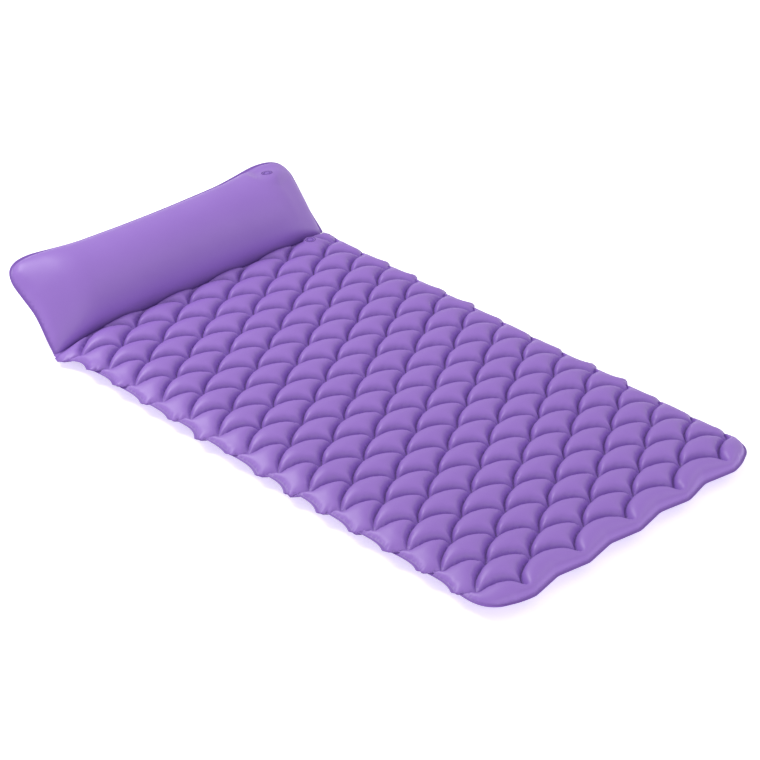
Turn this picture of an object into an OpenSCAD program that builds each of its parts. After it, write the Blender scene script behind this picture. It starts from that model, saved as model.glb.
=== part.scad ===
// Inflatable lounging mat with a tilted air pillow, shown inflated and lying on its underside.
// Millimetres, +Z up, X across the width, +Y towards the pillow. The origin is under the
// middle of the outline, on the ground.

/* [Mat] */
// Width over the side weld rims, inflated
mat_width = 780; // [600:5:900]
// Length from the foot rim to the head weld
mat_length = 1260; // [1000:10:1700]
// Thickness of the inflated mat
mat_thick = 56; // [44:1:80]
// Plan radius of the two foot corners
foot_corner = 66; // [45:1:110]
// How far the mat's head end takes to rise to full height
head_rise = 20; // [14:1:26]
// Width of the flat weld rim round each air chamber
rim_w = 8; // [5:1:12]
// Film thickness as modelled, thicker than the real film
film_t = 1.2; // [0.8:0.1:2]

/* [Pillow] */
// Width over the pillow's end rims
pillow_width = 776; // [600:2:890]
// Distance between the pillow's two long welds
pillow_chord = 197; // [160:1:240]
// Bulge of the front film above the weld plane
front_bulge = 75; // [50:1:90]
// Bulge of the back film below the weld plane
back_bulge = 86; // [70:1:94]
// Length over which each end of the pillow thins out to its weld
end_taper = 72; // [50:1:110]
// Plan radius of the two far corners
pillow_corner = 44; // [25:1:60]

/* [Valves] */
// Radius of the recess mouth
mouth_r = 8; // [7.8:0.1:9]
// Radius of the stem's air bore
bore_r = 3; // [2.6:0.1:3.2]
// Depth of the pushed-in stem below the film
stem_depth = 18; // [16:0.5:22]
// Mat valve: distance from the centre line
mat_valve_x = 306; // [200:1:330]
// Mat valve: distance from the head weld
mat_valve_back = 37; // [36:1:60]
// Pillow valve: distance from the centre line
pillow_valve_x = 312; // [150:1:316]
// Pillow valve: distance from the head weld, along the weld plane
pillow_valve_s = 176; // [150:1:178]

/* [Hidden] */
$fn = 96;
seam_z = mat_thick / 2;
edge_r = mat_thick / 2;
mat_hw = mat_width / 2 - rim_w;
pil_hw = pillow_width / 2 - rim_w;
hinge_gap = 3;
weld_gap = 5;
rim_t = 0.6;
steps = 7;
corner_n = 8;
half_c = pillow_chord / 2;
mid_s = hinge_gap + half_c;
rc_front = (half_c * half_c + front_bulge * front_bulge) / (2 * front_bulge);
rc_back = (half_c * half_c + back_bulge * back_bulge) / (2 * back_bulge);
// the tilt at which the back film just rests on the ground
off_back = rc_back - back_bulge;
tilt = asin((rc_back - seam_z) / norm([mid_s, off_back])) - atan2(off_back, mid_s);
rear = mid_s * cos(tilt) - off_back * sin(tilt) + rc_back;
total_y = mat_length + rear;
hinge_y = total_y / 2 - rear;
foot_y = hinge_y - mat_length + rim_w;
// pillow valve: height of the front film over the weld plane, and its lean
off_front = rc_front - front_bulge;
pv_lean = asin((pillow_valve_s - mid_s) / rc_front);
pv_h = rc_front * cos(pv_lean) - off_front;

// one closed outline with rounded corners: half width, near and far y, near and far radius, height
function arc_pts(cx, cy, r, a0, z) =
  [for (i = [0:corner_n]) [cx + r * cos(a0 + 90 * i / corner_n), cy + r * sin(a0 + 90 * i / corner_n), z]];
function ring(hw, y0, y1, r0, r1, z) = concat(
  arc_pts(hw - r0, y0 + r0, r0, -90, z), arc_pts(hw - r1, y1 - r1, r1, 0, z),
  arc_pts(-hw + r1, y1 - r1, r1, 90, z), arc_pts(-hw + r0, y0 + r0, r0, 180, z));

// a closed skin through a list of rings that all have the same number of points
module skin(rings) {
  m = len(rings[0]);
  k = len(rings);
  pts = [for (r = rings) for (p = r) p];
  sides = [for (i = [0:k - 2]) for (j = [0:m - 1])
    [i * m + j, (i + 1) * m + j, (i + 1) * m + (j + 1) % m, i * m + (j + 1) % m]];
  polyhedron(pts, concat([[for (j = [0:m - 1]) j]],
    sides, [[for (j = [m - 1:-1:0]) (k - 1) * m + j]]), convexity = 4);
}

// mat film: quarter-ellipse edges that rise from the weld rim to a flat top
function mat_ring(a, t) =
  let (e = edge_r - t, d = t + e * (1 - cos(a)), hd = t + (head_rise - t) * (1 - cos(a)))
  ring(mat_hw - d, foot_y + d, hinge_y - weld_gap - hd, foot_corner - d, max(14 - hd / 2, 1.5), e * sin(a));
module mat_film() {
  skin(concat(
    [for (j = [steps:-1:0]) mat_ring(90 * j / steps, film_t)],
    [ring(mat_hw + rim_w, foot_y - rim_w, hinge_y - weld_gap, foot_corner + rim_w, 14, 0),
     ring(mat_hw + rim_w, foot_y - rim_w, hinge_y - weld_gap, foot_corner + rim_w, 14, rim_t)],
    [for (j = [1:steps]) mat_ring(90 * j / steps, 0)]));
}

// pillow film: a circular lens across, with ends that thin out to the end welds
function lens_ring(q, bulge, rc, t) =
  let (h = (bulge - t) * q, c = sqrt(pow(rc - t, 2) - pow(h + rc - bulge, 2)),
       ex = t + (end_taper - t) * (1 - sqrt(1 - q * q)),
       r1 = min(pillow_corner + ex * 0.4, c - 0.4), r0 = min(12 + ex * 0.5, c - 0.4))
  ring(pil_hw - ex, mid_s - c, mid_s + c, r0, r1, h);
module pillow_film(bulge, rc) {
  n = steps + 3;
  top = 0.996;
  far = hinge_gap + pillow_chord;
  skin(concat(
    [for (j = [n:-1:0]) lens_ring(top * sin(90 * j / n), bulge, rc, film_t)],
    [ring(pil_hw + rim_w, hinge_gap, far + rim_w, 12, pillow_corner + rim_w, 0),
     ring(pil_hw + rim_w, hinge_gap, far + rim_w, 12, pillow_corner + rim_w, rim_t)],
    [for (j = [1:n]) lens_ring(top * sin(90 * j / n), bulge, rc, 0)]));
}
module at_pillow() translate([0, hinge_y, seam_z]) rotate([tilt, 0, 0]) children();
module at_mat_valve() translate([mat_valve_x, hinge_y - mat_valve_back, mat_thick]) children();
module at_pillow_valve()
  at_pillow() translate([pillow_valve_x, pillow_valve_s, pv_h]) rotate([-pv_lean, 0, 0]) children();

// valve pieces about the valve axis, film surface at z = 0
module flange_shape() difference() {
  union() {
    translate([0, 0, -4.6]) cylinder(h = 5, r = mouth_r + 1);
    translate([0, 0, -4.6]) cylinder(h = 1, r = mouth_r + 6);
  }
  translate([0, 0, -5]) cylinder(h = 6, r = mouth_r);
}
module boot_shape() rotate_extrude()
  polygon([[5, 2.4 - stem_depth], [mouth_r, 2.4 - stem_depth], [mouth_r, -1], [mouth_r - 0.6, -1],
    [mouth_r - 0.6, 3 - stem_depth], [5, 3 - stem_depth]]);
module stem_shape() difference() {
  union() {
    translate([0, 0, -stem_depth]) cylinder(h = stem_depth - 1.5, r = 4.6);
    translate([0, 0, -3]) cylinder(h = 1.5, r = 5.6);
    translate([0, 0, -stem_depth]) cylinder(h = 1.8, r = 5.2);
  }
  translate([0, 0, -stem_depth - 1]) cylinder(h = stem_depth + 2, r = bore_r);
}
module plug_shape() {
  translate([0, 0, -1.2]) cylinder(h = 1.2, r = 6.3);
  translate([0, 0, -0.2]) cylinder(h = 0.6, r1 = 5.6, r2 = 4.6);
  translate([0, 0, -10.5]) cylinder(h = 9.5, r = bore_r - 0.05);
}
module tether_shape() difference() {
  translate([0, 1.6, 0]) rotate([90, 0, 0]) linear_extrude(3.2)
    polygon([[5, -2.9], [7.1, -2.9], [7.1, -0.2], [6.65, -0.2], [6.65, -2.4], [5, -2.4]]);
  translate([0, 0, -4]) cylinder(h = 3, r = 5.6);
}
module flap_shape() {
  translate([0, 0, -stem_depth - 0.8]) cylinder(h = 0.5, r = 3.7);
  translate([0, -1.5, -stem_depth - 0.8]) cube([4.9, 3, 0.5]);
  translate([4.9, 1.5, -stem_depth - 0.55]) rotate([90, 0, 0]) cylinder(h = 3, r = 0.25);
}

module mat_top_film() color("MediumPurple") difference() {
  translate([0, 0, seam_z]) mat_film();
  at_mat_valve() translate([0, 0, -6]) cylinder(h = 12, r = mouth_r + 1);
}
module mat_bottom_film() color("MediumPurple")
  translate([0, 0, seam_z]) rotate([0, 180, 0]) mat_film();
module head_weld_band() color("MediumPurple") {
  translate([-pil_hw, hinge_y - weld_gap, seam_z - rim_t]) cube([2 * pil_hw, weld_gap, 2 * rim_t]);
  translate([-pil_hw, hinge_y, seam_z]) rotate([0, 90, 0]) cylinder(h = 2 * pil_hw, r = 1.4);
}
module pillow_front_film() color("MediumPurple") difference() {
  at_pillow() pillow_film(front_bulge, rc_front);
  at_pillow_valve() translate([0, 0, -6]) cylinder(h = 12, r = mouth_r + 1);
}
module pillow_back_film() color("MediumPurple")
  at_pillow() rotate([0, 180, 0]) pillow_film(back_bulge, rc_back);
module mat_valve_flange() color("SlateBlue") at_mat_valve() flange_shape();
module mat_valve_boot() color("SlateBlue") at_mat_valve() boot_shape();
module mat_valve_stem() color("SlateBlue") at_mat_valve() stem_shape();
module mat_valve_tether() color("SlateBlue") at_mat_valve() tether_shape();
module mat_valve_plug() color("SlateBlue") at_mat_valve() plug_shape();
module mat_valve_flap() color("SlateBlue") at_mat_valve() flap_shape();
module pillow_valve_flange() color("SlateBlue") at_pillow_valve() flange_shape();
module pillow_valve_boot() color("SlateBlue") at_pillow_valve() boot_shape();
module pillow_valve_stem() color("SlateBlue") at_pillow_valve() stem_shape();
module pillow_valve_tether() color("SlateBlue") at_pillow_valve() tether_shape();
module pillow_valve_plug() color("SlateBlue") at_pillow_valve() plug_shape();
module pillow_valve_flap() color("SlateBlue") at_pillow_valve() flap_shape();

mat_top_film();
mat_bottom_film();
head_weld_band();
pillow_front_film();
pillow_back_film();
mat_valve_flange();
mat_valve_boot();
mat_valve_stem();
mat_valve_tether();
mat_valve_plug();
mat_valve_flap();
pillow_valve_flange();
pillow_valve_boot();
pillow_valve_stem();
pillow_valve_tether();
pillow_valve_plug();
pillow_valve_flap();
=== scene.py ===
"""Looks of the inflatable lounging mat with its tilted air pillow.

Both air chambers start as flat welded patterns and are blown up by Blender's cloth solver.
Metres throughout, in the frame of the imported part.
"""
import logging
import math
from dataclasses import dataclass, field
from enum import Enum
from typing import Callable

import bpy
import numpy as np
from mathutils import Matrix, Vector
from mathutils.geometry import delaunay_2d_cdt
from mathutils.kdtree import KDTree


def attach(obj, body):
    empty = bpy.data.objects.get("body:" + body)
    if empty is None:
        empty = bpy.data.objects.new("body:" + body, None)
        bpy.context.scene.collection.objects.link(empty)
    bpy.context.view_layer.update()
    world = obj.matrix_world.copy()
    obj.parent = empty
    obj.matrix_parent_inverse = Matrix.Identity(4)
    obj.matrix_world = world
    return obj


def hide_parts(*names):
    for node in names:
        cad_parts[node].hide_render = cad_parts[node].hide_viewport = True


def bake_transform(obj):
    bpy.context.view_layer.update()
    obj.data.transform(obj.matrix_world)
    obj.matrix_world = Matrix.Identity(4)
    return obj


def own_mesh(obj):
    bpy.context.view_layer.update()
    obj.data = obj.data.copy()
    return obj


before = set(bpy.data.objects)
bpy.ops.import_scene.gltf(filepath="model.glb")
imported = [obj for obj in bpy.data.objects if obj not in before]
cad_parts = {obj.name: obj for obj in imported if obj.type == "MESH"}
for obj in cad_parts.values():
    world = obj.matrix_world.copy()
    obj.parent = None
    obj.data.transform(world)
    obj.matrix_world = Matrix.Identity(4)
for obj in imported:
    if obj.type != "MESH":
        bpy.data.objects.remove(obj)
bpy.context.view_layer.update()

logging.basicConfig(level=logging.INFO, format="%(message)s")
LOG = logging.getLogger("air_mat")
Colour = tuple[float, float, float]

# The hinge line, the weld plane, the pillow's tilt and the ends of the two chambers at the hinge.
HINGE_Y = 0.5436118
SEAM_Z = 0.028
TILT = math.radians(36.6988)
MAT_HEAD_Y = HINGE_Y - 0.005
PILLOW_START = 0.003
# Half the blown width, half the flat width without its rim, the rim's width and half a weld's thickness.
HALF_WIDTH = 0.388
FLAT_HALF = 0.4134
RIM = 0.008
FILM_HALF = 0.0003
# A valve's mouth, the flat ring round it, the steps round both, and the rings down its pocket.
MOUTH = 0.00915
MOUTH_RING = 0.0145
MOUTH_STEPS = 28
POCKET_TOP = (0.0006, 0.004)
# A point this near to a line of the flat pattern lies on it.
ON_LINE = 1e-5


class Slot(Enum):
    """The record's material slots."""

    FILM = "film"
    VALVE = "valve"


def placed(name: str, mesh: bpy.types.Mesh) -> bpy.types.Object:
    """Puts a mesh in the scene as an object at the origin."""
    piece = bpy.data.objects.new(name, mesh)
    bpy.context.scene.collection.objects.link(piece)
    return piece


def search_tree(points: np.ndarray | list) -> KDTree:
    """A search tree over points of a flat pattern."""
    tree = KDTree(len(points))
    for i, p in enumerate(points):
        tree.insert((p[0], p[1], 0), i)
    tree.balance()
    return tree


# ---------------------------------------------------------------- finishes


def mixed(tree: bpy.types.NodeTree, factor: bpy.types.NodeSocket, low: Colour,
          high: Colour) -> bpy.types.NodeSocket:
    """Mixes two colours.

    Args:
        tree: the material's node tree.
        factor: socket that drives the mix, 0 to 1.
        low: colour at 0.
        high: colour at 1.

    Returns:
        The mixed colour socket.
    """
    ramp = tree.nodes.new("ShaderNodeValToRGB")
    ramp.color_ramp.elements[0].color = (*low, 1)
    ramp.color_ramp.elements[1].color = (*high, 1)
    tree.links.new(factor, ramp.inputs["Fac"])
    return ramp.outputs["Color"]


@dataclass(frozen=True)
class FilmFinish:
    """Soft semi-matte PVC film with darker pressed welds, partly their own tone and partly painted shade in
    the weld valleys, and faint painted light from an emission that lifts the shade in its creases.
    """

    name: str = "pvc_film"
    low: Colour = (0.248, 0.126, 0.479)
    high: Colour = (0.279, 0.149, 0.520)
    # Darker weld colour: partly the pressed welds' own tone, partly painted shade in the valleys along them.
    weld: Colour = (0.175, 0.078, 0.380)
    roughness: float = 0.46
    roughness_below: float = 0.05
    roughness_above: float = 0.06
    grain: float = 0.10
    grain_height: float = 0.0002
    wave: float = 0.10
    wave_height: float = 0.002
    mark_from: float = 0.45
    mark_depth: float = 0.75
    # Painted light: a faint emission of the film's own colour that lifts the shade in creases, such as under
    # the pillow.
    painted_glow: float = 0.06

    def build(self) -> bpy.types.Material:
        """Builds the material; a point attribute darkens the pressed lines, partly their own tone and partly
        painted shade in the weld valleys.
        """
        material = bpy.data.materials.new(self.name)
        material.use_nodes = True
        tree = material.node_tree
        shader = tree.nodes["Principled BSDF"]
        coord = tree.nodes.new("ShaderNodeTexCoord")

        def noise(scale: float, detail: float) -> bpy.types.NodeSocket:
            """Adds a noise pattern on the object's own coordinates."""
            node = tree.nodes.new("ShaderNodeTexNoise")
            node.inputs["Scale"].default_value = scale
            node.inputs["Detail"].default_value = detail
            tree.links.new(coord.outputs["Object"], node.inputs["Vector"])
            return node.outputs["Fac"]

        mottle = mixed(tree, noise(9.0, 3.0), self.low, self.high)
        mark = tree.nodes.new("ShaderNodeAttribute")
        mark.attribute_name = "weld_tone_and_shade"
        # Mixes in the weld colour along the welds: partly their own darker tone, partly painted shade in the
        # valleys.
        pressed = tree.nodes.new("ShaderNodeMix")
        pressed.data_type = "RGBA"
        pressed.inputs["B"].default_value = (*self.weld, 1)
        narrow = tree.nodes.new("ShaderNodeMapRange")
        narrow.inputs["From Min"].default_value = self.mark_from
        narrow.inputs["To Max"].default_value = self.mark_depth
        tree.links.new(mark.outputs["Fac"], narrow.inputs["Value"])
        tree.links.new(narrow.outputs["Result"], pressed.inputs["Factor"])
        tree.links.new(mottle, pressed.inputs["A"])
        tree.links.new(pressed.outputs["Result"], shader.inputs["Base Color"])
        spread = tree.nodes.new("ShaderNodeMapRange")
        spread.inputs["To Min"].default_value = self.roughness - self.roughness_below
        spread.inputs["To Max"].default_value = self.roughness + self.roughness_above
        tree.links.new(noise(40.0, 4.0), spread.inputs["Value"])
        tree.links.new(spread.outputs["Result"], shader.inputs["Roughness"])
        ripple = tree.nodes.new("ShaderNodeBump")
        ripple.inputs["Strength"].default_value = self.wave
        ripple.inputs["Distance"].default_value = self.wave_height
        tree.links.new(noise(55.0, 2.0), ripple.inputs["Height"])
        grain = tree.nodes.new("ShaderNodeBump")
        grain.inputs["Strength"].default_value = self.grain
        grain.inputs["Distance"].default_value = self.grain_height
        tree.links.new(noise(1400.0, 2.0), grain.inputs["Height"])
        tree.links.new(ripple.outputs["Normal"], grain.inputs["Normal"])
        tree.links.new(grain.outputs["Normal"], shader.inputs["Normal"])
        shader.inputs["IOR"].default_value = 1.5
        # Painted light: the film emits a little of its own colour to lift its shade.
        shader.inputs["Emission Color"].default_value = (*self.high, 1)
        shader.inputs["Emission Strength"].default_value = self.painted_glow
        return material


@dataclass(frozen=True)
class FloorFinish:
    """Matt pale studio floor, lifted a little so that its shadows stay faint."""

    name: str = "studio_floor"
    colour: Colour = (0.93, 0.93, 0.93)
    roughness: float = 0.9
    specular: float = 0.1
    lift: float = 0.45

    def build(self) -> bpy.types.Material:
        """Builds the floor material."""
        material = bpy.data.materials.new(self.name)
        material.use_nodes = True
        shader = material.node_tree.nodes["Principled BSDF"]
        shader.inputs["Base Color"].default_value = (*self.colour, 1)
        shader.inputs["Roughness"].default_value = self.roughness
        shader.inputs["Specular IOR Level"].default_value = self.specular
        shader.inputs["Emission Color"].default_value = (1, 1, 1, 1)
        shader.inputs["Emission Strength"].default_value = self.lift
        return material


# ---------------------------------------------------------------- flat patterns


@dataclass
class FlatSheet:
    """A triangulated flat pattern of one film."""

    flat: np.ndarray
    faces: np.ndarray
    weld: np.ndarray
    film: np.ndarray
    lines: list[list[int]]
    loops: list[list[int]]
    marks: dict[str, list[int]]


@dataclass
class PatternMaker:
    """Collects weld lines and fills the film between them with even triangles."""

    spacing: float
    rim_gap: float = 0.55
    clearance: float = 0.62
    points: list[tuple[float, float]] = field(default_factory=list)
    edges: list[tuple[int, int]] = field(default_factory=list)
    welded: list[bool] = field(default_factory=list)
    lines: list[tuple[str, list[int]]] = field(default_factory=list)
    loops: list[list[int]] = field(default_factory=list)

    def line(self, points: list, closed: bool = False, welded: bool = True, mark: str = "") -> None:
        """Adds one polyline.

        Args:
            points: flat points along it.
            closed: whether it closes on itself.
            welded: whether the two films are welded along it.
            mark: name to find its points by afterwards.
        """
        base = len(self.points)
        self.points += [(float(p[0]), float(p[1])) for p in points]
        self.welded += [welded] * len(points)
        self.edges += [(base + i, base + i + 1) for i in range(len(points) - 1)]
        if closed:
            self.edges.append((base + len(points) - 1, base))
            if welded:
                self.loops.append(list(range(base, base + len(points))))
        self.lines.append((mark, list(range(base, base + len(points)))))

    def straight(self, a: tuple, b: tuple) -> list:
        """Even points from a up to, but without, b."""
        steps = max(1, round(math.dist(a, b) / self.spacing))
        return [(a[0] + (b[0] - a[0]) * i / steps, a[1] + (b[1] - a[1]) * i / steps) for i in range(steps)]

    def bend(self, centre: tuple, radius: float, start: float) -> list:
        """Even points on a quarter circle, without its last one."""
        steps = max(2, round(radius * math.pi / 2 / self.spacing))
        turns = [start + math.pi / 2 * i / steps for i in range(steps)]
        return [(centre[0] + radius * math.cos(t), centre[1] + radius * math.sin(t)) for t in turns]

    def triangulate(self, holds: Callable[[np.ndarray, float], np.ndarray], box: tuple,
                    clear: list) -> FlatSheet:
        """Fills the outline with triangles.

        Args:
            holds: tells which points lie inside the outline grown by a margin.
            box: lowest u, highest u, lowest v, highest v.
            clear: circles (u, v, radius) kept free of filling points.

        Returns:
            The triangulated sheet.
        """
        h = self.spacing
        rise = h * math.sqrt(3) / 2
        rows = int((box[3] - box[2]) / rise) + 2
        cols = int((box[1] - box[0]) / h) + 2
        grid = np.array([(box[0] + h * (i + 0.5 * (j % 2)), box[2] + rise * j)
                         for j in range(rows) for i in range(cols)])
        grid = grid[holds(grid, RIM - self.rim_gap * h)]
        for u, v, radius in clear:
            grid = grid[np.hypot(grid[:, 0] - u, grid[:, 1] - v) > radius]
        tree = search_tree(self.points)
        grid = [p for p in grid if tree.find((p[0], p[1], 0))[2] > self.clearance * h]
        everything = [Vector(p) for p in self.points] + [Vector(p) for p in grid]
        out = delaunay_2d_cdt(everything, self.edges, [], 0, ON_LINE)
        flat = np.array([tuple(v) for v in out[0]])
        faces = np.array([f for f in out[2] if len(f) == 3])
        weld = np.zeros(len(flat), bool)
        place: dict[int, int] = {}
        for i, origins in enumerate(out[3]):
            weld[i] = not origins or any(o < len(self.points) and self.welded[o] for o in origins)
            for o in origins:
                place[o] = i
        faces = faces[holds(flat[faces].mean(1), RIM)]
        film = holds(flat[faces].mean(1), 0.0)
        a, b = flat[faces[:, 1]] - flat[faces[:, 0]], flat[faces[:, 2]] - flat[faces[:, 0]]
        turned = a[:, 0] * b[:, 1] - a[:, 1] * b[:, 0] < 0
        faces[turned] = faces[turned][:, ::-1]
        marks = {mark: [place[i] for i in ids] for mark, ids in self.lines if mark}
        lines = [[place[i] for i in ids] for mark, ids in self.lines if self.welded[ids[0]]]
        loops = [[place[i] for i in ids] for ids in self.loops]
        return FlatSheet(flat, faces, weld, film, lines, loops, marks)


# ---------------------------------------------------------------- inflation


@dataclass(frozen=True)
class Inflation:
    """Cloth settings of one chamber."""

    frames: int
    pressure: float
    stretch: float
    bend: float
    vertex_mass: float = 0.01
    soft: float = 5.0
    damping: float = 10.0
    air: float = 3.0
    quality: int = 5


def inflate(name: str, start: np.ndarray, flat: np.ndarray, faces: list, pinned: np.ndarray,
            how: Inflation) -> np.ndarray:
    """Blows up two welded films with the cloth solver.

    Args:
        name: name of the scratch object.
        start: first positions.
        flat: unstretched positions of the same points.
        faces: faces of both films.
        pinned: indices of points that stay where they start.
        how: the solver's settings.

    Returns:
        The final positions.
    """
    mesh = bpy.data.meshes.new(name)
    mesh.from_pydata(start.tolist(), [], faces)
    body = placed(name, mesh)
    scene = bpy.context.scene
    body.shape_key_add(name="start")
    rest = body.shape_key_add(name="flat")
    rest.data.foreach_set("co", flat.ravel())
    cloth = body.modifiers.new("Inflate", "CLOTH")
    if len(pinned):
        group = body.vertex_groups.new(name="pinned")
        group.add(pinned.tolist(), 1.0, "REPLACE")
        cloth.settings.vertex_group_mass = "pinned"
    values = {
        "quality": how.quality, "mass": how.vertex_mass, "rest_shape_key": rest,
        "tension_stiffness": how.stretch, "compression_stiffness": how.soft, "shear_stiffness": how.soft,
        "bending_stiffness": how.bend, "tension_damping": how.damping, "compression_damping": how.damping,
        "shear_damping": how.damping, "air_damping": how.air, "use_pressure": True,
        "uniform_pressure_force": how.pressure,
    }
    for key, value in values.items():
        setattr(cloth.settings, key, value)
    cloth.settings.effector_weights.gravity = 0
    cloth.collision_settings.use_collision = False
    cloth.point_cache.frame_start, cloth.point_cache.frame_end = 1, how.frames + 1
    for step in range(1, how.frames + 1):
        scene.frame_set(step)
    done = body.evaluated_get(bpy.context.evaluated_depsgraph_get())
    result = np.zeros(len(start) * 3)
    done.data.vertices.foreach_get("co", result)
    bpy.data.objects.remove(body)
    scene.frame_set(1)
    return result.reshape(-1, 3)


def step_between(value: np.ndarray, low: float, high: float) -> np.ndarray:
    """Smooth step from 0 at low to 1 at high."""
    t = np.clip((value - low) / (high - low), 0, 1)
    return t * t * (3 - 2 * t)


def droop(points: np.ndarray) -> np.ndarray:
    """Lets the slack corner at the left end of the hinge sink outwards to the ground."""
    run, inner, outer, fall, lowest = 0.085, 0.27, 0.385, (-0.010, 0.0, -0.015), 0.0006
    near = 1 - step_between(np.abs(points[:, 1] - HINGE_Y), 0.0, run)
    weight = near * step_between(-points[:, 0], inner, outer)
    moved = points + weight[:, None] * np.array(fall)
    moved[:, 2] = np.maximum(moved[:, 2], np.minimum(points[:, 2], lowest))
    return moved


def surface_normals(points: np.ndarray, faces: np.ndarray) -> np.ndarray:
    """Unit normals at the points of a triangulated film."""
    across = np.cross(points[faces[:, 1]] - points[faces[:, 0]], points[faces[:, 2]] - points[faces[:, 0]])
    total = np.zeros_like(points)
    for corner in range(3):
        np.add.at(total, faces[:, corner], across)
    return total / np.maximum(np.linalg.norm(total, axis=1), 1e-12)[:, None]


@dataclass(frozen=True)
class ValveSeat:
    """Where an air valve's recess sits."""

    body: str
    centre: tuple[float, float, float]
    lean: float
    flat_at: tuple[float, float]
    reach: float
    depth: float = 0.025
    level: float = 0.016
    level_end: float = 0.024

    def frame(self) -> tuple[np.ndarray, np.ndarray]:
        """The seat's centre, and its axes as rows, the last one along the valve."""
        c, s = math.cos(self.lean), math.sin(self.lean)
        return np.array(self.centre), np.array([[1, 0, 0], [0, c, -s], [0, s, c]])

    def draw(self, maker: PatternMaker) -> tuple[float, float, float]:
        """Draws the recess mouth and the ring round it on the flat pattern."""
        u, v = self.flat_at
        turns = [2 * math.pi * i / MOUTH_STEPS for i in range(MOUTH_STEPS)]
        for radius, mark in ((MOUTH, f"{self.body}_mouth"), (MOUTH_RING, f"{self.body}_ring")):
            ring = [(u + radius * math.cos(t), v + radius * math.sin(t)) for t in turns]
            maker.line(ring, closed=True, welded=False, mark=mark)
        return u, v, MOUTH_RING + 0.6 * maker.spacing

    def settle(self, points: np.ndarray, sheet: FlatSheet) -> np.ndarray:
        """Draws the top film on to the valve's flat seat.

        Args:
            points: positions of the top film.
            sheet: the flat pattern.

        Returns:
            The moved positions.
        """
        centre, axes = self.frame()
        mouth = np.array(sheet.marks[f"{self.body}_mouth"])
        ring = points[mouth]
        middle = ring.mean(0)
        normal = np.linalg.svd(ring - middle)[2][2]
        normal = normal * np.sign(normal @ axes[2])
        turn = np.array(Vector(normal).rotation_difference(Vector(axes[2])).to_matrix())
        flat_reach = np.hypot(sheet.flat[:, 0] - self.flat_at[0], sheet.flat[:, 1] - self.flat_at[1])
        weight = 1 - step_between(flat_reach, self.level, self.reach)
        weight[sheet.weld] = 0
        moved = points + weight[:, None] * ((points - middle) @ turn.T + centre - points)
        local = (moved - centre) @ axes.T
        level = 1 - step_between(flat_reach, self.level, self.level_end)
        level[sheet.weld] = 0
        local[:, 2] *= 1 - level
        for mark, radius in ((f"{self.body}_mouth", MOUTH), (f"{self.body}_ring", MOUTH_RING)):
            ids = np.array(sheet.marks[mark])
            local[ids, :2] *= radius / np.hypot(local[ids, 0], local[ids, 1])[:, None]
        return local @ axes + centre


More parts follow.
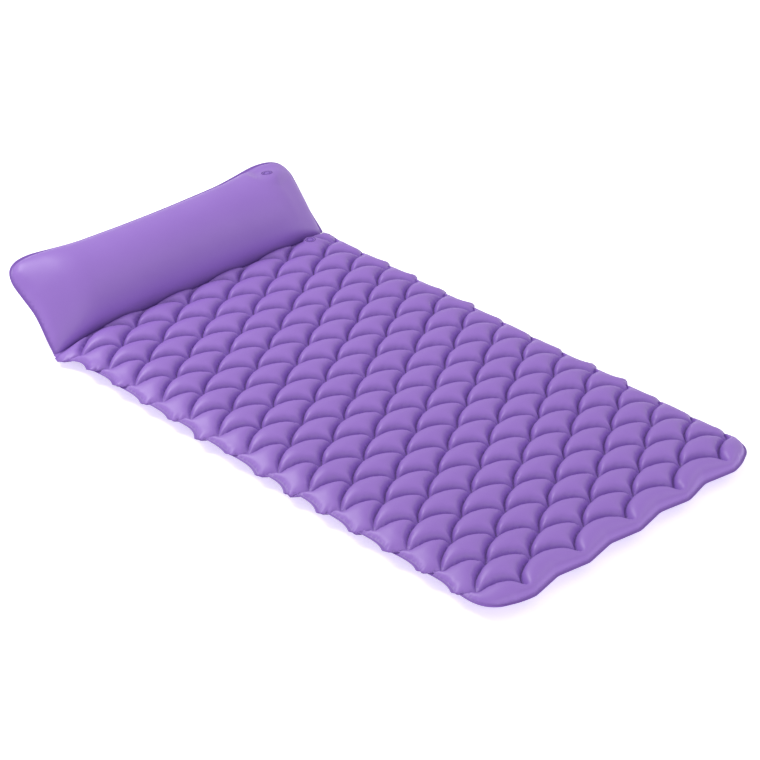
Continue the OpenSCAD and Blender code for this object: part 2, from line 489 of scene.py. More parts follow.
@dataclass
class Chamber:
    """An air chamber of two welded films."""

    name: str
    body: str
    sheet: FlatSheet
    seat: ValveSeat
    how: Inflation
    held: np.ndarray = field(default_factory=lambda: np.zeros(0, int))
    rim_rounds: int = 14
    rim_slip: float = 0.85
    rim_laid: float = 0.6
    rest_gap: float = 1e-4

    def lower_ids(self) -> np.ndarray:
        """For each point of the upper film, the solver's point of the lower film."""
        free = ~self.sheet.weld
        ids = np.arange(len(free))
        ids[free] = len(free) + np.arange(free.sum())
        return ids

    def blow(self, upper: np.ndarray, lower: np.ndarray,
             pinned: np.ndarray) -> tuple[np.ndarray, np.ndarray]:
        """Inflates from the two starting films.

        Args:
            upper: starting positions of the upper film.
            lower: starting positions of the lower film.
            pinned: points that don't move.

        Returns:
            The inflated upper and lower films.
        """
        sheet, ids = self.sheet, self.lower_ids()
        self.held = pinned
        free = ~sheet.weld
        start = np.vstack([upper, lower[free]])
        rest = np.zeros_like(start)
        rest[:, :2] = np.vstack([sheet.flat, sheet.flat[free]])
        rest[: len(free), 2] = np.where(free, self.rest_gap, 0)
        rest[len(free):, 2] = -self.rest_gap
        faces = [tuple(f) for f in sheet.faces.tolist()]
        faces += [tuple(f[::-1]) for f in ids[sheet.faces[sheet.film]].tolist()]
        done = inflate(self.name, start, rest, faces, pinned, self.how)
        return done[: len(free)], done[ids]

    def smooth(self, points: np.ndarray, rounds: int) -> np.ndarray:
        """Evens the film between the welds, and the welds along themselves."""
        sheet = self.sheet
        pairs = np.vstack([sheet.faces[:, [0, 1]], sheet.faces[:, [1, 2]], sheet.faces[:, [2, 0]]])
        count = np.bincount(pairs.ravel(), minlength=len(points))[:, None]
        times = np.zeros(len(points), int)
        for line in sheet.lines:
            times[line] += 1
        for _ in range(self.rim_rounds):
            even = points.copy()
            for loop in sheet.loops:
                ids = np.array(loop)
                even[ids] = 0.5 * points[ids] + 0.25 * (points[np.roll(ids, 1)] + points[np.roll(ids, -1)])
            even[self.held] = points[self.held]
            points = even
        for _ in range(rounds):
            total = np.zeros_like(points)
            np.add.at(total, pairs[:, 0], points[pairs[:, 1]])
            np.add.at(total, pairs[:, 1], points[pairs[:, 0]])
            even = points + 0.5 * (total / np.maximum(count, 1) - points)
            even[sheet.weld] = points[sheet.weld]
            for line in sheet.lines:
                ids = np.array(line)
                alone = times[ids[1:-1]] == 1
                before, inner, after = ids[:-2][alone], ids[1:-1][alone], ids[2:][alone]
                even[inner] = 0.5 * points[inner] + 0.25 * (points[before] + points[after])
            points = even
        return points

    def square_rim(self, points: np.ndarray) -> np.ndarray:
        """Lays the weld rim flat and even outside the film's edge.

        Args:
            points: positions of a film, with its weld plane level.

        Returns:
            The positions with a new rim.
        """
        sheet, out = self.sheet, points.copy()
        inner, outer = np.array(sheet.loops[0]), np.array(sheet.loops[1])
        tree = search_tree(sheet.flat[inner])
        fixed = set(self.held.tolist()) | set(inner.tolist())
        ahead, behind = np.roll(inner, -2), np.roll(inner, 2)
        for i in outer:
            if int(i) in fixed:
                continue
            j = tree.find((*sheet.flat[i], 0))[1]
            run = points[ahead[j]] - points[behind[j]]
            run[2] = 0
            run /= max(np.linalg.norm(run), 1e-9)
            flat_run = sheet.flat[ahead[j]] - sheet.flat[behind[j]]
            flat_run /= max(np.linalg.norm(flat_run), 1e-9)
            slip = float((sheet.flat[i] - sheet.flat[inner[j]]) @ flat_run) * self.rim_slip
            out[i] = points[inner[j]] + run * slip + np.array([run[1], -run[0], 0]) * RIM * self.rim_laid
        return out

    def close(self, upper: np.ndarray, lower: np.ndarray, material: bpy.types.Material) -> bpy.types.Object:
        """Makes the closed mesh of both films with the weld rim and the valve's pocket.

        Args:
            upper: positions of the upper film.
            lower: positions of the lower film.
            material: the film's finish.

        Returns:
            The chamber's object.
        """
        sheet, count = self.sheet, len(self.sheet.flat)
        upper, lower = droop(upper), droop(lower)
        lift = surface_normals(upper, sheet.faces)
        top, base = upper.copy(), lower.copy()
        top[sheet.weld] += lift[sheet.weld] * FILM_HALF
        base[sheet.weld] -= lift[sheet.weld] * FILM_HALF
        u, v = self.seat.flat_at
        middle = sheet.flat[sheet.faces].mean(1)
        hole = np.hypot(middle[:, 0] - u, middle[:, 1] - v) < MOUTH
        faces = sheet.faces[~hole].tolist() + (sheet.faces[:, ::-1] + count).tolist()
        directed = {(f[i], f[(i + 1) % 3]) for f in sheet.faces.tolist() for i in range(3)}
        border = [(a, b) for a, b in directed if (b, a) not in directed]
        faces += [[b, a, a + count, b + count] for a, b in border]
        points = np.vstack([top, base])
        centre, axes = self.seat.frame()
        mouth = sheet.marks[f"{self.seat.body}_mouth"]
        previous = list(mouth)
        pocket_edges = list(zip(mouth, mouth[1:] + mouth[:1]))
        for deep in (*POCKET_TOP, 0.5 * self.seat.depth, self.seat.depth):
            flat_ring = (points[mouth] - centre) @ axes.T
            flat_ring[:, 2] = -deep
            base_id = len(points)
            points = np.vstack([points, flat_ring @ axes + centre])
            current = list(range(base_id, base_id + len(mouth)))
            for i in range(len(mouth)):
                j = (i + 1) % len(mouth)
                faces.append([previous[i], previous[j], current[j], current[i]])
            previous = current
        points = np.vstack([points, centre - axes[2] * self.seat.depth])
        floor_edges = list(zip(previous, previous[1:] + previous[:1]))
        faces += [[a, b, len(points) - 1] for a, b in floor_edges]
        pocket_edges += floor_edges
        mesh = bpy.data.meshes.new(self.name)
        mesh.from_pydata(points.tolist(), [], faces)
        mesh.update()
        creased = {frozenset(e) for e in pocket_edges} | {frozenset(e) for e in border}
        creased |= {frozenset((a + count, b + count)) for a, b in border}
        for line in sheet.lines:
            for a, b in zip(line, line[1:]):
                creased |= {frozenset((a, b)), frozenset((a + count, b + count))}
        crease = mesh.attributes.new("crease_edge", "FLOAT", "EDGE")
        values = [1.0 if frozenset(e.vertices) in creased else 0.0 for e in mesh.edges]
        crease.data.foreach_set("value", values)
        # Marks the weld points, which the film finish darkens: partly their own tone, partly painted shade
        # in the weld valleys.
        near = np.zeros(len(points), np.float32)
        near[:count][sheet.weld] = 1
        near[count:2 * count][sheet.weld] = 1
        mesh.attributes.new("weld_tone_and_shade", "FLOAT", "POINT").data.foreach_set("value", near)
        mesh.polygons.foreach_set("use_smooth", [True] * len(mesh.polygons))
        mesh.materials.append(material)
        piece = placed(self.name, mesh)
        surface = piece.modifiers.new("Surface", "SUBSURF")
        surface.levels = surface.render_levels = 1
        return piece


# ---------------------------------------------------------------- the mat


@dataclass(frozen=True)
class EdgeShape:
    """What the solver leaves out of the mat's edges: teeth along the sides and a wave at the foot.

    Thinning is a share of the bulge, given for the sides and for the foot.
    """

    seed: int = 11
    teeth: int = 40
    last_tooth: int = 13
    sizes: tuple[float, float] = (0.6, 1.25)
    tilts: tuple[float, float] = (-0.007, 0.005)
    run: float = 0.045
    thin_run: float = 0.085
    head_run: float = 0.02
    inset: float = 0.002
    hollow: float = 0.003
    hook: float = 0.015
    wave: float = 0.008
    cusp: float = 0.024
    wave_end: tuple[float, float] = (2.3, 2.5)
    upper_thin: tuple[float, float] = (0.38, 0.15)
    upper_left: float = 0.20
    lower_thin: tuple[float, float] = (0.80, 0.65)


@dataclass
class ScaleMat:
    """The long chamber with its fish-scale welds."""

    pitch: float = 0.156
    row: float = 0.0545
    rows: int = 28
    corner: float = 0.070
    head: float = 1.26 * 0.0545
    foot: float = -27.45 * 0.0545
    spacing: float = 0.0075
    fullness: float = 0.0285
    tightness: float = 0.50
    shrink: float = 0.80
    thick: float = 0.0575
    half_width: float = 0.389
    length: float = 1.2550
    curl_cell: float = 0.03
    curl_margin: float = 0.2
    edge: EdgeShape = EdgeShape()
    how: Inflation = Inflation(frames=20, pressure=100, stretch=40, bend=0.3)
    seat: ValveSeat = ValveSeat("mat", (0.306, 0.5066118, 0.056), 0.0, (0.332, 0.0225), 0.027)

    def holds(self, points: np.ndarray, margin: float) -> np.ndarray:
        """Tells which flat points lie inside the outline grown by a margin."""
        half, low, r = FLAT_HALF + margin, self.foot - margin, self.corner + margin
        inside = (np.abs(points[:, 0]) < half) & (points[:, 1] > low)
        inside &= points[:, 1] < self.head - (ON_LINE if margin in (0.0, RIM) else 0.5 * self.spacing)
        across, down = np.abs(points[:, 0]) - (half - r), low + r - points[:, 1]
        return inside & ~((across > 0) & (down > 0) & (np.hypot(across, down) > r))

    def arc_radius(self) -> float:
        """Radius of one scale's weld."""
        return ((self.pitch / 2) ** 2 + self.row ** 2) / (2 * self.row)

    def pattern(self) -> FlatSheet:
        """Draws the welds of the flat mat and fills it."""
        maker = PatternMaker(self.spacing)
        for margin in (0.0, RIM):
            half, low, r = FLAT_HALF + margin, self.foot - margin, self.corner + margin
            outline = maker.bend((half - r, low + r), r, -math.pi / 2)
            outline += maker.straight((half, low + r), (half, self.head))
            outline += maker.straight((half, self.head), (-half, self.head))
            outline += maker.straight((-half, self.head), (-half, low + r))
            outline += maker.bend((-half + r, low + r), r, math.pi)
            outline += maker.straight((-half + r, low), (half - r, low))
            maker.line(outline, closed=True)
        radius = self.arc_radius()
        reach = math.asin(self.pitch / 2 / radius)
        steps = 2 * round(radius * reach / self.spacing)
        for k in range(self.rows):
            centres = (-2, -1, 0, 1, 2) if k % 2 == 0 else (-2.5, -1.5, -0.5, 0.5, 1.5, 2.5)
            middle = -k * self.row + self.row - radius
            for c in centres:
                turns = [-reach + 2 * reach * i / steps for i in range(steps + 1)]
                arc = [(c * self.pitch + radius * math.sin(t), middle + radius * math.cos(t)) for t in turns]
                if abs(c) == 2.5:
                    arc = [p for p in arc if abs(p[0]) <= 2.5 * self.pitch + 1e-6]
                maker.line(arc)
            for side in (-1, 1) if k % 2 == 0 else ():
                us = [2.5 * self.pitch + (FLAT_HALF - 2.5 * self.pitch) * i / 3 for i in range(4)]
                heights = [middle + math.sqrt(radius ** 2 - (3 * self.pitch - u) ** 2) for u in us]
                maker.line([(side * u, v) for u, v in zip(us, heights)])
        clear = [self.seat.draw(maker)]
        box = (-FLAT_HALF - RIM, FLAT_HALF + RIM, self.foot - RIM, self.head)
        return maker.triangulate(self.holds, box, clear)

    def build(self, material: bpy.types.Material) -> bpy.types.Object:
        """Inflates the mat, lays it on the ground and closes it.

        Args:
            material: the film's finish.

        Returns:
            The mat's object.
        """
        sheet = self.pattern()
        chamber = Chamber("mat_chamber", "mat", sheet, self.seat, self.how)
        tree = search_tree(sheet.flat[sheet.weld])
        gap = np.array([tree.find((p[0], p[1], 0))[2] for p in sheet.flat])
        bulge = np.minimum(0.75 * np.sqrt(gap * 0.028), 0.026)
        bulge[sheet.weld] = 0
        squeeze = HALF_WIDTH / (FLAT_HALF + RIM)
        start = np.column_stack([sheet.flat * (squeeze, self.shrink), bulge])
        lower = start * (1, 1, -1)
        head = np.flatnonzero(sheet.flat[:, 1] > self.head - ON_LINE)
        LOG.info("mat pattern: %d points, %d triangles", len(sheet.flat), len(sheet.faces))
        upper, lower = chamber.blow(start, lower, head)
        upper, lower = self.lay(sheet, upper, lower)
        upper, lower = chamber.smooth(upper, 2), chamber.smooth(lower, 2)
        upper = chamber.square_rim(upper)
        upper, lower = self.finish_edges(sheet, upper, lower)
        lower[sheet.weld] = upper[sheet.weld]
        upper = self.seat.settle(upper, sheet)
        piece = chamber.close(upper, lower, material)
        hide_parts("mat_top_film", "mat_bottom_film")
        return piece

    def lay(self, sheet: FlatSheet, upper: np.ndarray, lower: np.ndarray) -> tuple[np.ndarray, np.ndarray]:
        """Takes out the sheet's slow curl, brings it to size and rests it on the ground."""
        ids = np.flatnonzero(sheet.weld)
        at, height = upper[ids][:, :2], upper[ids][:, 2]
        cell = self.curl_cell
        low = at.min(0) - self.curl_margin
        cells = ((at - low) / cell).astype(int)
        size = tuple(((at.max(0) + self.curl_margin - low) / cell).astype(int) + 2)
        total, weight = np.zeros(size), np.zeros(size)
        np.add.at(total, tuple(cells.T), height)
        np.add.at(weight, tuple(cells.T), 1.0)
        for _ in range(6):
            for axis in (0, 1):
                total = 0.5 * total + 0.25 * (np.roll(total, 1, axis) + np.roll(total, -1, axis))
                weight = 0.5 * weight + 0.25 * (np.roll(weight, 1, axis) + np.roll(weight, -1, axis))
        field_height = total / np.maximum(weight, 1e-3)

        def slow(points: np.ndarray) -> np.ndarray:
            """The slow height of the sheet under each point."""
            place = (points[:, :2] - low) / cell - 0.5
            i = np.clip(place.astype(int), 0, np.array(size) - 2)
            f = np.clip(place - i, 0, 1)
            a, b = field_height[i[:, 0], i[:, 1]], field_height[i[:, 0] + 1, i[:, 1]]
            c, d = field_height[i[:, 0], i[:, 1] + 1], field_height[i[:, 0] + 1, i[:, 1] + 1]
            near, far = a * (1 - f[:, 0]) + b * f[:, 0], c * (1 - f[:, 0]) + d * f[:, 0]
            return near * (1 - f[:, 1]) + far * f[:, 1]

        LOG.info("mat slow curl %.4f to %.4f", slow(upper).min(), slow(upper).max())
        out = []
        thick = np.percentile(upper[:, 2] - slow(upper), 99.5)
        thick -= np.percentile(lower[:, 2] - slow(lower), 0.5)
        wide = np.percentile(np.abs(upper[:, 0]), 99.8)
        long = self.head * self.shrink - upper[:, 1].min()
        LOG.info("mat blown to %.4f wide, %.4f long, %.4f thick", 2 * wide, long, thick)
        for points in (upper, lower):
            laid = points.copy()
            laid[:, 2] = (points[:, 2] - slow(points)) * (self.thick / thick) + SEAM_Z
            laid[:, 0] *= self.half_width / wide
            laid[:, 1] = MAT_HEAD_Y + (points[:, 1] - self.head * self.shrink) * (self.length / long)
            out.append(laid)
        return out[0], out[1]

    def finish_edges(self, sheet: FlatSheet, upper: np.ndarray,
                     lower: np.ndarray) -> tuple[np.ndarray, np.ndarray]:
        """Tightens the cells against their welds and pulls the rims into teeth and waves.

        Args:
            sheet: the flat pattern.
            upper: positions of the upper film.
            lower: positions of the lower film.

        Returns:
            Both films, finished.
        """
        u, v = sheet.flat.T
        edge = self.edge
        wide, random = np.abs(u), np.random.default_rng(edge.seed)
        near = 1 - step_between(FLAT_HALF - wide, 0.0, edge.run)
        thin = 1 - step_between(FLAT_HALF - wide, 0.0, edge.thin_run)
        radius = self.arc_radius()
        offset = np.clip(3 * self.pitch - wide, 0, self.pitch / 2)
        turn = (self.row - radius + np.sqrt(radius ** 2 - offset ** 2) - v) / (2 * self.row)
        tooth = np.ceil(turn - 0.004).astype(int)
        along = np.clip(turn - tooth + 1, 0, 1)
        size = random.uniform(*edge.sizes, (2, edge.teeth))
        tilt = random.uniform(*edge.tilts, (2, edge.teeth))
        which = ((u > 0).astype(int), np.clip(tooth, 0, edge.teeth - 1))
        keep = near * step_between(self.head - v, 0.0, edge.head_run) * (tooth <= edge.last_tooth)
        out = -edge.inset - edge.hollow * np.sin(math.pi * along) + edge.hook * along ** 5
        out = out * size[which] * keep
        rise = tilt[which] * along ** 4 * keep
        foot = 1 - step_between(v - self.foot, 0.0, edge.run)
        cusp = np.abs(u / self.pitch - np.round(u / self.pitch))
        inner, outer = (share * self.pitch for share in edge.wave_end)
        push = (edge.wave - edge.cusp * cusp) * foot * (1 - step_between(wide, inner, outer))
        tall = self.fullness
        upper_side = edge.upper_thin[0] + edge.upper_left * (u < 0)
        done = []
        films = ((upper, upper_side, edge.upper_thin[1]), (lower, *edge.lower_thin))
        for points, side_thin, foot_thin in films:
            moved = points.copy()
            rel = points[:, 2] - SEAM_Z
            rel[~sheet.weld] = (np.sign(rel) * tall * (np.abs(rel) / tall) ** self.tightness)[~sheet.weld]
            rel *= (1 - side_thin * thin) * (1 - foot_thin * foot)
            moved[:, 0] += np.sign(u) * out
            moved[:, 1] -= push
            moved[:, 2] = np.maximum(SEAM_Z + rel + rise, 0.0)
            done.append(moved)
        return done[0], done[1]


# ---------------------------------------------------------------- the pillow


@dataclass
class AirPillow:
    """The plain plump chamber at the head."""

    depth: float = 0.277
    corner: float = 0.050
    spacing: float = 0.0075
    chord: float = 0.197
    front: float = 0.077
    back: float = 0.0865
    first_bulge: float = 0.078
    first_end: float = 0.09
    end_run: float = 0.13
    end_slack: tuple[float, float] = (0.36, 0.30)
    ear_reach: float = 0.008
    ear_run: tuple[float, float] = (0.20, 0.39)
    flare: tuple[float, float] = (0.013, 0.023)
    flare_run: tuple[float, float] = (0.345, 0.413)
    flare_full: float = 0.85
    how: Inflation = Inflation(frames=40, pressure=30, stretch=40, bend=0.5)
    seat: ValveSeat = ValveSeat("pillow", (0.312, 0.659176, 0.167459), math.radians(10.1114),
                                (0.336, 0.2254), 0.060)

    def holds(self, points: np.ndarray, margin: float) -> np.ndarray:
        """Tells which flat points lie inside the outline grown by a margin."""
        half, high, r = FLAT_HALF + margin, self.depth + margin, self.corner + margin
        inside = (np.abs(points[:, 0]) < half) & (points[:, 1] < high)
        inside &= points[:, 1] > (ON_LINE if margin in (0.0, RIM) else 0.5 * self.spacing)
        across, up = np.abs(points[:, 0]) - (half - r), points[:, 1] - (high - r)
        return inside & ~((across > 0) & (up > 0) & (np.hypot(across, up) > r))

    def pattern(self) -> FlatSheet:
        """Draws the welds of the flat pillow and fills it."""
        maker = PatternMaker(self.spacing)
        for margin in (0.0, RIM):
            half, high, r = FLAT_HALF + margin, self.depth + margin, self.corner + margin
            outline = maker.straight((-half, 0), (half, 0)) + maker.straight((half, 0), (half, high - r))
            outline += maker.bend((half - r, high - r), r, 0)
            outline += maker.straight((half - r, high), (-half + r, high))
            outline += maker.bend((-half + r, high - r), r, math.pi / 2)
            outline += maker.straight((-half, high - r), (-half, 0))
            maker.line(outline, closed=True)
        clear = [self.seat.draw(maker)]
        box = (-FLAT_HALF - RIM, FLAT_HALF + RIM, 0, self.depth + RIM)
        return maker.triangulate(self.holds, box, clear)

    def build(self, material: bpy.types.Material) -> bpy.types.Object:
        """Inflates the pillow, tilts it on to the ground and closes it.

        Args:
            material: the film's finish.

        Returns:
            The pillow's object.
        """
        sheet = self.pattern()
        chamber = Chamber("pillow_chamber", "pillow", sheet, self.seat, self.how)
        u, s = sheet.flat.T
        along = np.clip(2 * s / self.depth - 1, -1, 1)
        end = np.clip((np.abs(u) - FLAT_HALF + self.first_end) / self.first_end, 0, 1)
        bulge = self.first_bulge * np.sqrt(1 - along ** 2) * np.sqrt(1 - end ** 2)
        bulge[sheet.weld] = 0
        squeeze = HALF_WIDTH / (FLAT_HALF + RIM)
        start = np.column_stack([u * squeeze, PILLOW_START + s * (self.chord / self.depth), bulge])
        near = np.flatnonzero(s < ON_LINE)
        LOG.info("pillow pattern: %d points, %d triangles", len(u), len(sheet.faces))
        upper, lower = chamber.blow(start, start * (1, 1, -1), near)
        upper, lower = chamber.smooth(upper, 3), chamber.smooth(lower, 3)
        upper = chamber.square_rim(upper)
        lower[sheet.weld] = upper[sheet.weld]
        upper, lower = self.lay(sheet, upper, lower)
        lower[sheet.weld] = upper[sheet.weld]
        upper = self.seat.settle(upper, sheet)
        piece = chamber.close(upper, lower, material)
        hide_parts("pillow_front_film", "pillow_back_film")
        return piece

    def lay(self, sheet: FlatSheet, upper: np.ndarray, lower: np.ndarray) -> tuple[np.ndarray, np.ndarray]:
        """Brings the blown pillow to size, tilts it about the hinge and rests it on the ground."""
        aside = np.abs(sheet.flat[:, 0])
        middle = (aside < 0.02) & sheet.weld & (np.abs(sheet.flat[:, 1] - self.depth) < 1e-4)
        reach = upper[middle, 1].mean() - PILLOW_START
        wide = np.abs(upper[:, 0]).max()
        LOG.info("pillow blown to chord %.4f, %.4f wide, heights %.4f and %.4f",
                 reach, 2 * wide, upper[:, 2].max(), lower[:, 2].min())
        factors = (self.front / upper[:, 2].max(), -self.back / lower[:, 2].min())
        thin = 1 - step_between(FLAT_HALF - aside, 0.0, self.end_run)
        ear, cap = step_between(aside, *self.ear_run), step_between(aside, *self.flare_run)
        out = []
        for points, tall, slack in zip((upper, lower), factors, self.end_slack):
            x = points[:, 0] * (HALF_WIDTH / wide)
            s = PILLOW_START + (points[:, 1] - PILLOW_START) * (self.chord / reach)
            s += self.ear_reach * ear * np.clip(s / self.chord, 0, 1.1) ** 2
            up = np.clip(s / (self.flare_full * self.chord), 0, 1)
            x += np.where(x < 0, -self.flare[0], self.flare[1]) * cap * up
            n = points[:, 2] * tall * (1 - slack * thin)
            y = HINGE_Y + s * math.cos(TILT) - n * math.sin(TILT)
            z = SEAM_Z + s * math.sin(TILT) + n * math.cos(TILT)
            out.append(np.column_stack([x, y, np.maximum(z, 0.0)]))
        return out[0], out[1]


# ---------------------------------------------------------------- hinge and valves


def linked(tree: bpy.types.NodeTree, kind: str, **inputs: object) -> bpy.types.Node:
    """Adds a geometry node and sets or links its inputs.

    Args:
        tree: the node tree.
        kind: the node's type.
        inputs: input names, with spaces as underscores, or n and a number, and their values or sockets.

    Returns:
        The node.
    """
    node = tree.nodes.new(kind)
    for key, value in inputs.items():
        numbered = key[0] == "n" and key[1:].isdigit()
        socket = node.inputs[int(key[1:])] if numbered else node.inputs[key.replace("_", " ")]
        if isinstance(value, bpy.types.NodeSocket):
            tree.links.new(value, socket)
        else:
            socket.default_value = value
    return node


def started(name: str, sizes: dict[str, str]) -> bpy.types.NodeTree:
    """Starts a geometry tree with named inputs and one geometry output.

    Args:
        name: the tree's name.
        sizes: names and socket types of its inputs, without the finish.

    Returns:
        The tree.
    """
    tree = bpy.data.node_groups.new(name, "GeometryNodeTree")
    for label, kind in {**sizes, "Finish": "NodeSocketMaterial"}.items():
        tree.interface.new_socket(label, in_out="INPUT", socket_type=kind)
    tree.interface.new_socket("Geometry", in_out="OUTPUT", socket_type="NodeSocketGeometry")
    return tree


def ended(tree: bpy.types.NodeTree, geometry: bpy.types.NodeSocket, finish: bpy.types.NodeSocket) -> None:
    """Gives the geometry its finish and sends it to the tree's output."""
    coloured = linked(tree, "GeometryNodeSetMaterial", Geometry=geometry, Material=finish)
    tree.links.new(coloured.outputs[0], tree.nodes.new("NodeGroupOutput").inputs[0])


def baked(name: str, tree: bpy.types.NodeTree, values: dict[str, object]) -> bpy.types.Object:
    """Runs a geometry tree and keeps its result as a plain mesh.

    Args:
        name: the piece's name.
        tree: the geometry tree.
        values: the tree's named inputs.

    Returns:
        The new piece.
    """
    holder = placed(f"{name}_maker", bpy.data.meshes.new(name))
    modifier = holder.modifiers.new("Make", "NODES")
    modifier.node_group = tree
    for item in tree.interface.items_tree:
        if item.item_type == "SOCKET" and item.in_out == "INPUT" and item.name in values:
            modifier[item.identifier] = values[item.name]
    bpy.context.view_layer.update()
    mesh = bpy.data.meshes.new_from_object(holder.evaluated_get(bpy.context.evaluated_depsgraph_get()))
    bpy.data.objects.remove(holder)
    mesh.name = name
    return placed(name, mesh)


def revolved(name: str, profile: list[tuple[float, float]], seat: ValveSeat, material: bpy.types.Material,
             around: int = 64) -> bpy.types.Object:
    """Turns a closed profile about a valve's axis.

    Args:
        name: the piece's name.
        profile: closed loop of (radius, height), counter-clockwise with the radius to the right.
        seat: the valve's seat.
        material: the finish.
        around: steps round the axis.

    Returns:
        The new piece.
    """
    centre, axes = seat.frame()
    count = len(profile)
    turns = [2 * math.pi * i / around for i in range(around)]
    local = np.array([(r * math.cos(t), r * math.sin(t), z) for t in turns for r, z in profile])
    faces = [[i * count + j, (i + 1) % around * count + j, (i + 1) % around * count + (j + 1) % count,
              i * count + (j + 1) % count] for i in range(around) for j in range(count)]
    mesh = bpy.data.meshes.new(name)
    mesh.from_pydata((local @ axes + centre).tolist(), [], faces)
    mesh.polygons.foreach_set("use_smooth", [True] * len(mesh.polygons))
    mesh.materials.append(material)
    return placed(name, mesh)


@dataclass
class HingeStrip:
    """The flat weld between the two chambers, with its pressed ribs."""

    ribs: int = 150
    rows: int = 8
    columns: int = 240
    overlap: float = 0.0004
    rib_width: float = 0.0012
    rib_height: float = 0.0010
    end_margin: float = 0.006

    def build(self, material: bpy.types.Material) -> bpy.types.Object:
        """Builds the strip and bends it between mat and pillow."""
        start = np.array([MAT_HEAD_Y - self.overlap, SEAM_Z])
        finish = np.array([HINGE_Y + (PILLOW_START + self.overlap) * math.cos(TILT),
                           SEAM_Z + (PILLOW_START + self.overlap) * math.sin(TILT)])
        tree = started("hinge_weld_tree", {"Width": "NodeSocketFloat", "Ribs": "NodeSocketInt",
                                           "Rib size": "NodeSocketVector", "Strip size": "NodeSocketVector"})
        given = tree.nodes.new("NodeGroupInput").outputs
        strip = linked(tree, "GeometryNodeMeshCube", Size=given["Strip size"], Vertices_X=self.columns,
                       Vertices_Y=self.rows, Vertices_Z=2)
        ends = [linked(tree, "ShaderNodeCombineXYZ"), linked(tree, "ShaderNodeCombineXYZ")]
        half = linked(tree, "ShaderNodeMath", n0=given["Width"], n1=0.5)
        half.operation = "MULTIPLY"
        minus = linked(tree, "ShaderNodeMath", n0=half.outputs[0], n1=-1.0)
        minus.operation = "MULTIPLY"
        tree.links.new(minus.outputs[0], ends[0].inputs[0])
        tree.links.new(half.outputs[0], ends[1].inputs[0])
        path = linked(tree, "GeometryNodeCurvePrimitiveLine", Start=ends[0].outputs[0],
                      End=ends[1].outputs[0])
        spots = linked(tree, "GeometryNodeCurveToPoints", Curve=path.outputs[0], Count=given["Ribs"])
        rib = linked(tree, "GeometryNodeMeshCube", Size=given["Rib size"], Vertices_X=2,
                     Vertices_Y=self.rows, Vertices_Z=2)
        many = linked(tree, "GeometryNodeInstanceOnPoints", Points=spots.outputs[0], Instance=rib.outputs[0])
        real = linked(tree, "GeometryNodeRealizeInstances", Geometry=many.outputs[0])
        join = tree.nodes.new("GeometryNodeJoinGeometry")
        tree.links.new(strip.outputs[0], join.inputs[0])
        tree.links.new(real.outputs[0], join.inputs[0])
        ended(tree, join.outputs[0], given["Finish"])
        long = float(np.linalg.norm(finish - start))
        piece = baked("head_weld", tree, {
            "Width": 2 * HALF_WIDTH - self.end_margin, "Ribs": self.ribs,
            "Rib size": (self.rib_width, long - self.rib_width, self.rib_height),
            "Strip size": (2 * HALF_WIDTH, long, 2 * FILM_HALF), "Finish": material})
        lean = np.arctan2(*(finish - start)[::-1])
        middle = (start + finish) / 2
        piece.data.transform(Matrix.Translation((0, middle[0], middle[1])) @ Matrix.Rotation(lean, 4, "X"))
        at = np.array([v.co for v in piece.data.vertices])
        piece.data.vertices.foreach_set("co", droop(at).ravel())
        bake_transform(piece)
        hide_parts("head_weld_band")
        return piece


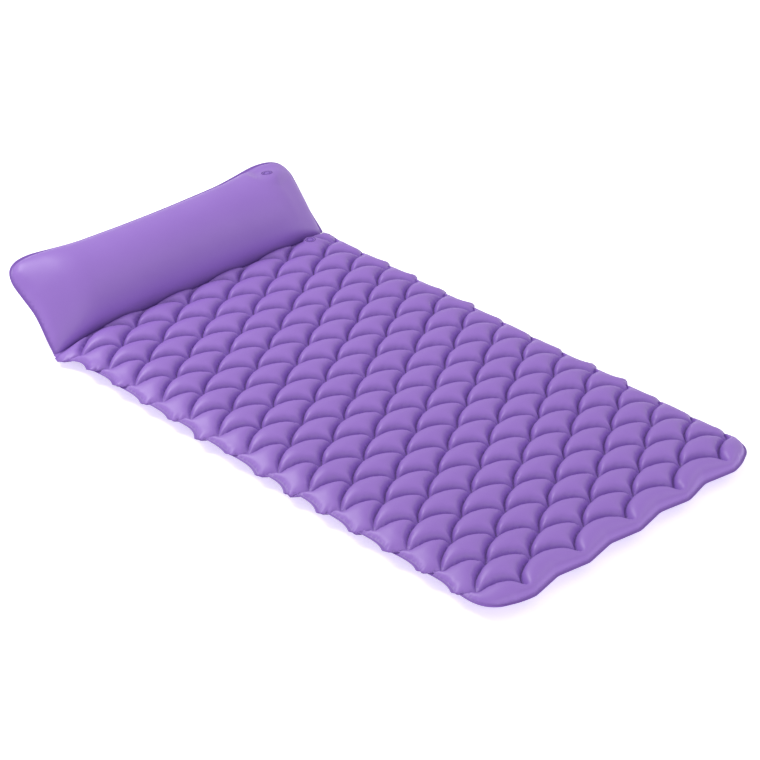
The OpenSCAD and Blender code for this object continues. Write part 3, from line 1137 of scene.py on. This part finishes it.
@dataclass
class AirValve:
    """One sunken air valve: soft boot, plug tether and the pressed ring round its mouth."""

    seat: ValveSeat
    ticks: int = 40
    ring_radius: float = 0.0122
    tick_size: tuple[float, float, float] = (0.0009, 0.0022, 0.0006)
    folds: int = 13
    fold_step: float = 0.0011
    fold_depth: float = 0.00018
    boot_radius: float = 0.0080
    boot_wall: float = 0.0006
    strap_half: float = 0.00016
    strap_run: tuple[tuple[float, float], ...] = (
        (0.0055, -0.0026), (0.0063, -0.0026), (0.0068, -0.0024), (0.0070, -0.0019), (0.0070, -0.0012),
        (0.0068, -0.0007), (0.0062, -0.0005))

    def boot(self, material: bpy.types.Material) -> bpy.types.Object:
        """The soft rolling boot, with its folds."""
        name = self.seat.body
        outer = [(self.boot_radius - self.fold_depth * (i % 2), -0.0010 - self.fold_step * i)
                 for i in range(self.folds)]
        inner = [(r - self.boot_wall, z) for r, z in outer]
        profile = ([(0.0050, -0.0156), (0.0072, -0.0156), (0.0077, -0.0152)] + outer[::-1] + inner
                   + [(0.0069, -0.0150), (0.0050, -0.0150)])
        piece = revolved(f"{name}_valve_boot_skin", profile, self.seat, material)
        centre, axes = self.seat.frame()
        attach(piece, name)
        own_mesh(piece)
        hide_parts(f"{name}_valve_boot")
        return piece

    def tether(self, material: bpy.types.Material) -> bpy.types.Object:
        """The little strap between stem and plug."""
        name = self.seat.body
        centre, axes = self.seat.frame()
        run = self.strap_run
        points, faces = [], []
        for i, (x, z) in enumerate(run):
            ahead, behind = run[min(i + 1, len(run) - 1)], run[max(i - 1, 0)]
            along = np.array([ahead[0] - behind[0], ahead[1] - behind[1]])
            side = np.array([-along[1], along[0]]) / np.linalg.norm(along) * self.strap_half
            half = 0.0015 - 0.0004 * math.sin(math.pi * i / (len(run) - 1))
            points += [(x + side[0], -half, z + side[1]), (x + side[0], half, z + side[1]),
                       (x - side[0], half, z - side[1]), (x - side[0], -half, z - side[1])]
            if i:
                a, b = 4 * (i - 1), 4 * i
                faces += [[a + j, a + (j + 1) % 4, b + (j + 1) % 4, b + j] for j in range(4)]
        faces += [[3, 2, 1, 0], [4 * len(run) - 4 + j for j in range(4)]]
        mesh = bpy.data.meshes.new(f"{name}_plug_strap")
        mesh.from_pydata((np.array(points) @ axes + centre).tolist(), [], faces)
        mesh.materials.append(material)
        piece = placed(f"{name}_plug_strap", mesh)
        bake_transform(piece)
        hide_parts(f"{name}_valve_tether")
        return piece

    def pressed_ring(self, material: bpy.types.Material) -> bpy.types.Object:
        """The knurled weld ring round the mouth."""
        tree = started(f"{self.seat.body}_ring_tree", {
            "Radius": "NodeSocketFloat", "Ticks": "NodeSocketInt", "Tick size": "NodeSocketVector"})
        given = tree.nodes.new("NodeGroupInput").outputs
        circle = linked(tree, "GeometryNodeCurvePrimitiveCircle", Resolution=96, Radius=given["Radius"])
        spots = linked(tree, "GeometryNodeCurveToPoints", Curve=circle.outputs[0], Count=given["Ticks"])
        tick = linked(tree, "GeometryNodeMeshCube", Size=given["Tick size"])
        many = linked(tree, "GeometryNodeInstanceOnPoints", Points=spots.outputs["Points"],
                      Instance=tick.outputs[0], Rotation=spots.outputs["Rotation"])
        real = linked(tree, "GeometryNodeRealizeInstances", Geometry=many.outputs[0])
        ended(tree, real.outputs[0], given["Finish"])
        piece = baked(f"{self.seat.body}_valve_weld_ring", tree, {
            "Radius": self.ring_radius, "Ticks": self.ticks, "Tick size": self.tick_size,
            "Finish": material})
        centre, axes = self.seat.frame()
        turn = Matrix([list(r) for r in axes.T]).to_4x4()
        piece.data.transform(Matrix.Translation(Vector(centre)) @ turn)
        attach(piece, self.seat.body)
        return piece


# ---------------------------------------------------------------- studio


@dataclass
class Studio:
    """Pale floor, soft light and the camera."""

    lens: float = 102.36
    eye: tuple[float, float, float] = (-2.70107, -2.68348, 2.36789)
    right: tuple[float, float, float] = (0.71003965, -0.70383281, 0.02151913)
    up: tuple[float, float, float] = (0.35485167, 0.38404253, 0.85240344)
    forward: tuple[float, float, float] = (0.60821377, 0.59760415, -0.52244167)
    floor_half: float = 14.0
    floor_drop: float = 0.0005
    sky: float = 0.60

    def build(self) -> None:
        """Makes the floor, the lights, the sky and the camera."""
        scene = bpy.context.scene
        scene.view_settings.view_transform = "Standard"
        mesh = bpy.data.meshes.new("floor")
        half = self.floor_half
        corners = [(-half, -half), (half, -half), (half, half), (-half, half)]
        mesh.from_pydata([(x, y, -self.floor_drop) for x, y in corners], [], [(0, 1, 2, 3)])
        mesh.materials.append(FloorFinish().build())
        floor = placed("floor", mesh)
        world = bpy.data.worlds.new("studio_sky")
        scene.world = world
        world.use_nodes = True
        world.node_tree.nodes["Background"].inputs["Color"].default_value = (1, 1, 1, 1)
        world.node_tree.nodes["Background"].inputs["Strength"].default_value = self.sky
        self.lamp("key", (-0.9, 2.2, 3.0), 1.6, 88)
        self.lamp("fill", (2.6, -1.6, 2.2), 2.0, 16)
        self.lamp("front", (-1.8, -3.4, 1.5), 2.2, 31)
        camera = bpy.data.objects.new("camera", bpy.data.cameras.new("camera"))
        camera.data.lens = self.lens
        axes = [self.right, self.up, tuple(-c for c in self.forward)]
        rows = [[axes[j][i] for j in range(3)] + [self.eye[i]] for i in range(3)] + [[0, 0, 0, 1]]
        camera.matrix_world = Matrix(rows)
        scene.collection.objects.link(camera)
        scene.camera = camera

    def lamp(self, name: str, place: tuple[float, float, float], size: float, power: float) -> None:
        """Adds a soft square lamp aimed at the mat."""
        light = bpy.data.lights.new(name, "AREA")
        light.energy, light.size = power, size
        lamp = bpy.data.objects.new(name, light)
        lamp.location = place
        lamp.rotation_euler = (Vector((0, 0, 0)) - Vector(place)).to_track_quat("-Z", "Y").to_euler()
        bpy.context.scene.collection.objects.link(lamp)


def dress(name: str, material: bpy.types.Material) -> None:
    """Gives a CAD node its finish."""
    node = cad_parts[name]
    node.data.materials.clear()
    node.data.materials.append(material)


def main() -> None:
    """Builds the object's looks piece by piece."""
    Studio().build()
    film = FilmFinish().build()
    valve = FilmFinish(name="pvc_valve", low=(0.20, 0.09, 0.44), high=(0.23, 0.11, 0.49), roughness=0.34,
                       wave=0.02).build()
    # Nearly black finish for the pressed ring's ticks: painted shadow of the recess round each valve's
    # mouth.
    ring = FilmFinish(name="pvc_painted_shadow_ring", low=(0.085, 0.035, 0.21), high=(0.10, 0.04, 0.24),
                      roughness=0.4, wave=0.02, painted_glow=0.0).build()
    mat, pillow = ScaleMat(), AirPillow()
    for piece, body in ((mat.build(film), "mat"), (pillow.build(film), "pillow")):
        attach(piece, body)
        LOG.info("built %s", piece.name)
    strip = HingeStrip().build(film)
    LOG.info("built %s", strip.name)
    for seat in (mat.seat, pillow.seat):
        maker = AirValve(seat)
        for piece in (maker.boot(valve), maker.tether(valve), maker.pressed_ring(ring)):
            LOG.info("built %s", piece.name)
        for part in ("flange", "stem", "plug", "flap"):
            dress(f"{seat.body}_valve_{part}", valve)


if __name__ == "__main__":
    main()
